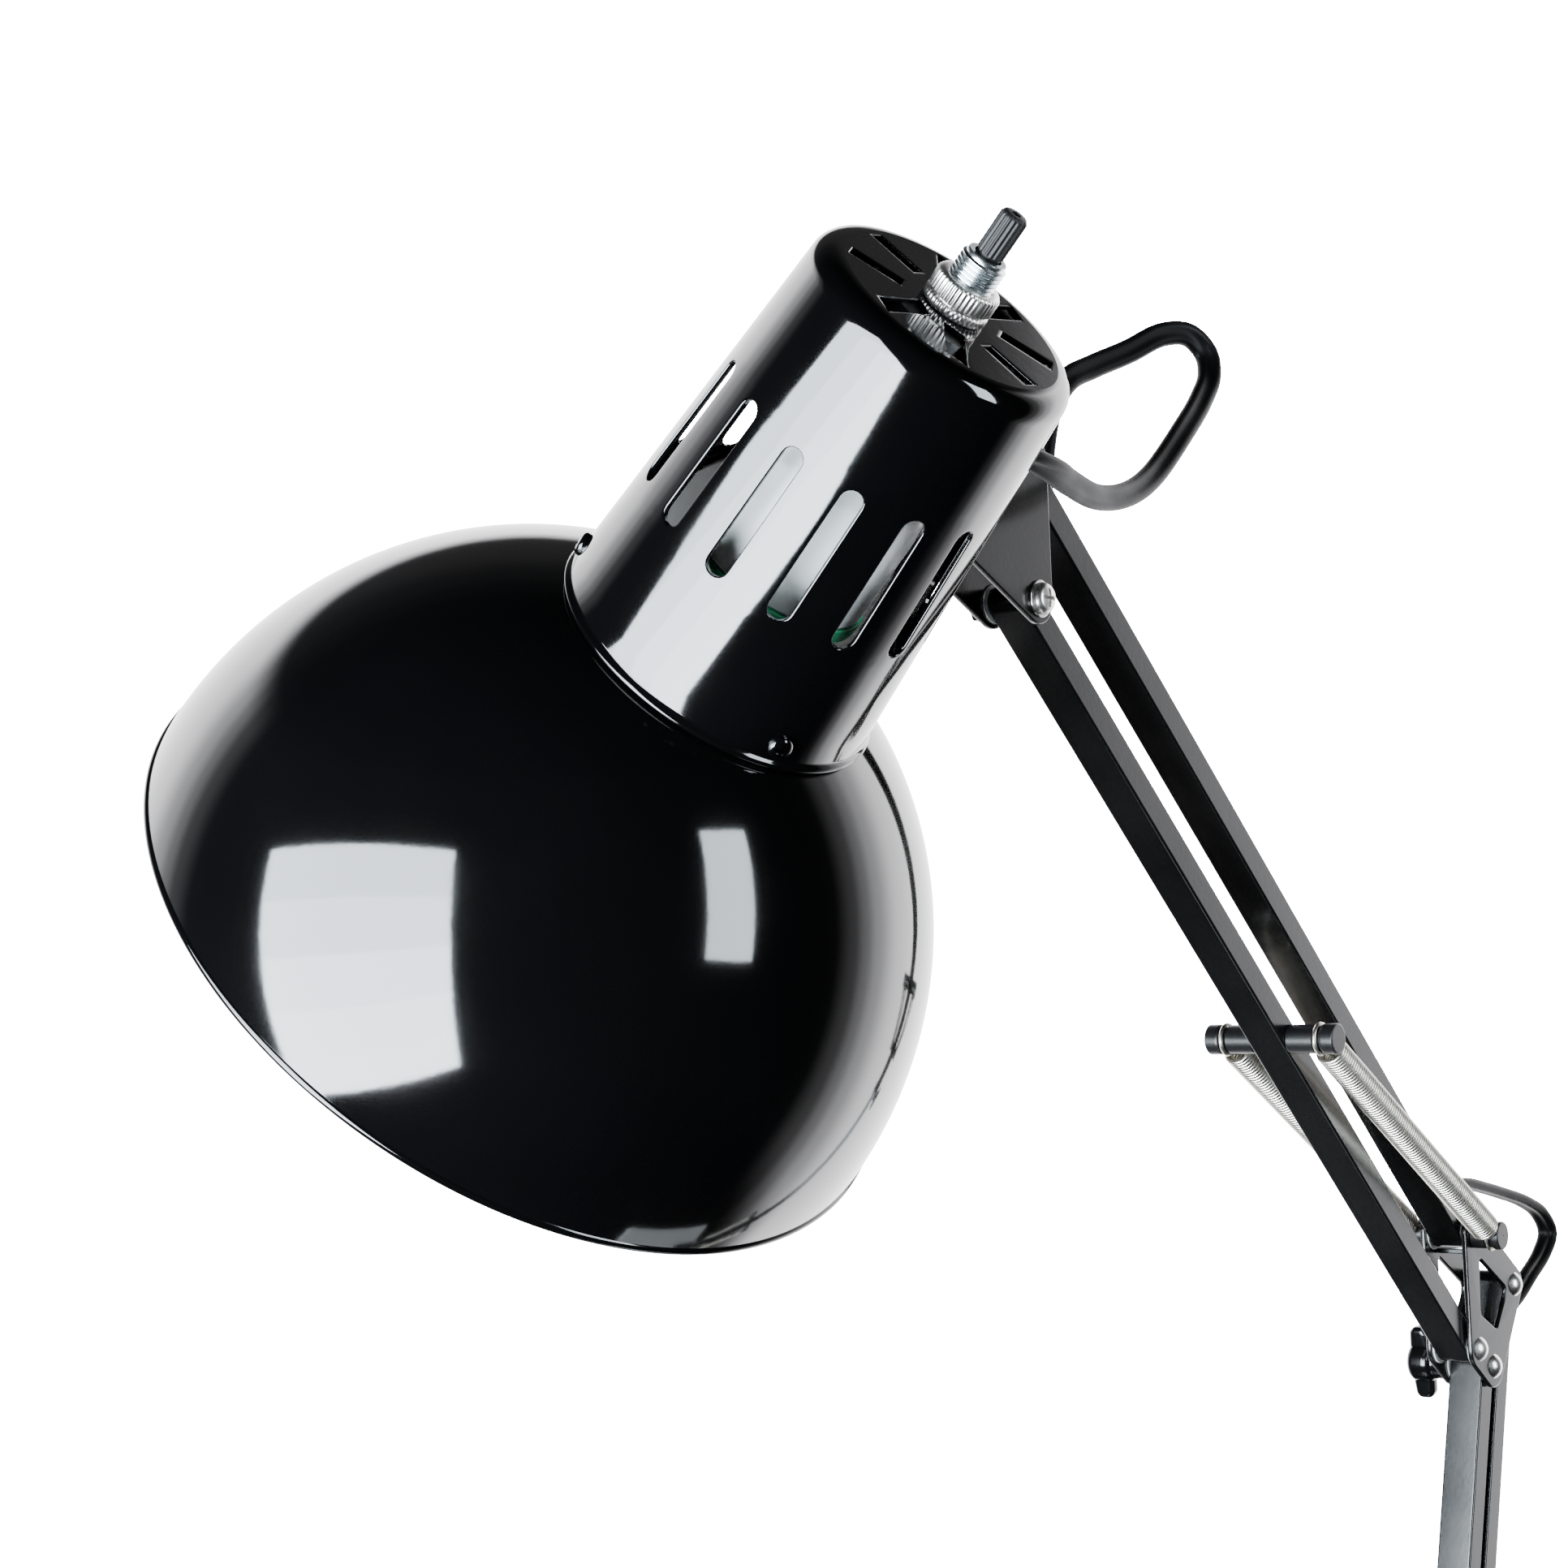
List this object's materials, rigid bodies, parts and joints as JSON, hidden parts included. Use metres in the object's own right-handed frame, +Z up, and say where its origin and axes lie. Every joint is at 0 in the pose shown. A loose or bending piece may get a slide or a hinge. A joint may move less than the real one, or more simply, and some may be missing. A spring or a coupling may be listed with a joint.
{
  "type": "swing arm desk lamp",
  "caption": "Spring-balanced swing arm desk lamp: bell shade on a slotted housing, two parallel-bar arms with an elbow bracket, rotary switch, desk clamp and mains cord.",
  "frame": {"origin": "middle of the clamp's upper jaw contact face, where it rests on the desk top, on the foot's swivel axis", "axes": "+Z up; the arms fold in the XZ plane; the head is towards -X and its shade faces +Y and down"},
  "size_m": [0.4488, 0.2175, 0.7264],
  "materials": {
    "black_enamel": "deep gloss black stoved enamel",
    "nickel_plate": "bright nickel plate",
    "zinc": "zinc plated thread",
    "brass": "drawn brass",
    "bulb_white": "smooth satin",
    "bulb_green": "smooth satin",
    "bulb_glass": "phosphor coated inside",
    "black_gloss_plastic": "polished",
    "black_plastic": "moulded, satin",
    "white_plastic": "moulded, satin",
    "rubber": "matt",
    "cord_vinyl": "soft satin vinyl"
  },
  "bodies": {
    "clamp": {"clamp_frame": "black_enamel", "mains_coil": "cord_vinyl", "mains_plug": "cord_vinyl", "mains_cord": "cord_vinyl"},
    "clamp_screw": {"clamp_screw": "nickel_plate"},
    "clamp_pad": {"clamp_pad": "black_plastic"},
    "tommy_bar": {"clamp_tommy_bar": "nickel_plate"},
    "foot": {"base_bracket": "black_enamel", "base_rivets": "nickel_plate", "base_washers": "white_plastic", "base_spring_post": "nickel_plate", "base_spring_bushes": "black_plastic", "lower_springs": "nickel_plate"},
    "lower_front": {"lower_front_bar": "black_enamel", "lower_crossbar": "nickel_plate", "lower_crossbar_bushes": "black_plastic"},
    "lower_rear": {"lower_rear_bar": "black_enamel", "lower_lead": "cord_vinyl"},
    "elbow": {"elbow_plate_near": "black_enamel", "elbow_plate_far": "black_enamel", "elbow_spacer": "black_enamel", "elbow_rivets": "nickel_plate", "elbow_washers": "white_plastic", "elbow_bolt": "nickel_plate", "elbow_spring_post": "nickel_plate", "elbow_spring_bushes": "black_plastic", "upper_springs": "nickel_plate", "elbow_cord": "cord_vinyl"},
    "elbow_knob": {"elbow_wing_knob": "black_gloss_plastic"},
    "upper_front": {"upper_front_bar": "black_enamel", "upper_crossbar": "nickel_plate", "upper_crossbar_bushes": "black_plastic"},
    "upper_rear": {"upper_rear_bar": "black_enamel", "upper_lead": "cord_vinyl", "head_cord": "cord_vinyl"},
    "head_bracket": {"head_plate_near": "black_enamel", "head_plate_far": "black_enamel", "head_pivot_screw": "nickel_plate", "head_rear_rivet": "nickel_plate", "head_washers": "white_plastic", "tilt_bolt": "nickel_plate"},
    "tilt_nut": {"tilt_wing_nut": "nickel_plate"},
    "knuckle": {"tilt_knuckle": "black_enamel"},
    "head": {"swivel_stud": "nickel_plate", "swivel_saddle": "black_enamel", "stud_nut": "nickel_plate", "neck_housing": "black_enamel", "shade": "black_enamel", "shade_rivets": "nickel_plate", "lamp_socket": "black_plastic", "socket_shell": "brass", "bulb_base": "nickel_plate", "bulb_ballast": "bulb_white", "bulb_ring": "bulb_green", "bulb_tube": "bulb_glass", "switch_bushing": "zinc", "ring_nut": "nickel_plate", "cord_grommet": "rubber"},
    "switch": {"switch_shaft": "black_gloss_plastic"}
  },
  "joints": [
    {"name": "clamp_screw_turn", "type": "hinge", "parent": "clamp_pad", "child": "clamp_screw", "pos_m": [0, 0, -0.06], "axis": [0, 0, 1], "range_deg": [-7260, 4380]},
    {"name": "clamp_pad_lift", "type": "slide", "parent": "clamp", "child": "clamp_pad", "axis": [0, 0, 1], "range_m": [-0.03, 0.018]},
    {"name": "tommy_bar_slide", "type": "slide", "parent": "clamp_screw", "child": "tommy_bar", "axis": [1, 0, 0], "range_m": [-0.019, 0.019]},
    {"name": "foot_swivel", "type": "hinge", "parent": "clamp", "child": "foot", "pos_m": [0, 0, 0.02], "axis": [0, 0, 1], "range_deg": [-120, 120], "deforming": ["mains_cord"]},
    {"name": "lower_arm_lean", "type": "hinge", "parent": "foot", "child": "lower_front", "pos_m": [-0.007, 0, 0.052], "axis": [0, 1, 0], "range_deg": [-80, 3], "deforming": ["lower_springs", "mains_cord", "elbow_cord"]},
    {"name": "lower_rear_bar_lean", "type": "hinge", "parent": "foot", "child": "lower_rear", "pos_m": [0.008, 0, 0.074], "axis": [0, 1, 0], "range_deg": [-81, 4], "deforming": ["mains_cord", "elbow_cord"]},
    {"name": "elbow_level", "type": "hinge", "parent": "lower_front", "child": "elbow", "pos_m": [0.05537, 0, 0.34544], "axis": [0, 1, 0], "range_deg": [-4, 81], "deforming": ["elbow_cord"]},
    {"name": "elbow_knob_turn", "type": "hinge", "parent": "elbow", "child": "elbow_knob", "pos_m": [0.05537, 0.012, 0.34544], "axis": [0, 1, 0], "continuous": true},
    {"name": "upper_arm_lift", "type": "hinge", "parent": "elbow", "child": "upper_front", "pos_m": [0.04637, 0, 0.35094], "axis": [0, 1, 0], "range_deg": [-75, 28], "deforming": ["upper_springs", "elbow_cord", "head_cord"]},
    {"name": "upper_rear_bar_lift", "type": "hinge", "parent": "elbow", "child": "upper_rear", "pos_m": [0.04437, 0, 0.38294], "axis": [0, 1, 0], "range_deg": [-76, 29], "deforming": ["elbow_cord", "head_cord"]},
    {"name": "head_bracket_level", "type": "hinge", "parent": "upper_front", "child": "head_bracket", "pos_m": [-0.17578, 0, 0.53735], "axis": [0, 1, 0], "range_deg": [-29, 76], "deforming": ["head_cord"]},
    {"name": "tilt_nut_turn", "type": "hinge", "parent": "head_bracket", "child": "tilt_nut", "pos_m": [-0.20578, 0.01, 0.55385], "axis": [0, 1, 0], "continuous": true},
    {"name": "head_tilt", "type": "hinge", "parent": "head_bracket", "child": "knuckle", "pos_m": [-0.20578, 0, 0.55385], "axis": [0, 1, 0], "range_deg": [-35, 35], "deforming": ["head_cord"]},
    {"name": "head_turn", "type": "hinge", "parent": "knuckle", "child": "head", "pos_m": [-0.25776, 0, 0.54005], "axis": [0.9877, 0, 0.1564], "range_deg": [-110, 35], "deforming": ["head_cord"]},
    {"name": "switch_turn", "type": "hinge", "parent": "head", "child": "switch", "pos_m": [-0.26421, -0.04497, 0.58076], "axis": [-0.1057, -0.7373, 0.6673], "continuous": true}
  ],
  "couplings": [
    {"joint": "clamp_screw_turn", "follows": "clamp_pad_lift", "rad_per_m": 4188.8},
    {"joint": "lower_rear_bar_lean", "follows": "lower_arm_lean", "ratio": 1},
    {"joint": "elbow_level", "follows": "lower_arm_lean", "ratio": -1},
    {"joint": "upper_rear_bar_lift", "follows": "upper_arm_lift", "ratio": 1},
    {"joint": "head_bracket_level", "follows": "upper_arm_lift", "ratio": -1}
  ]
}
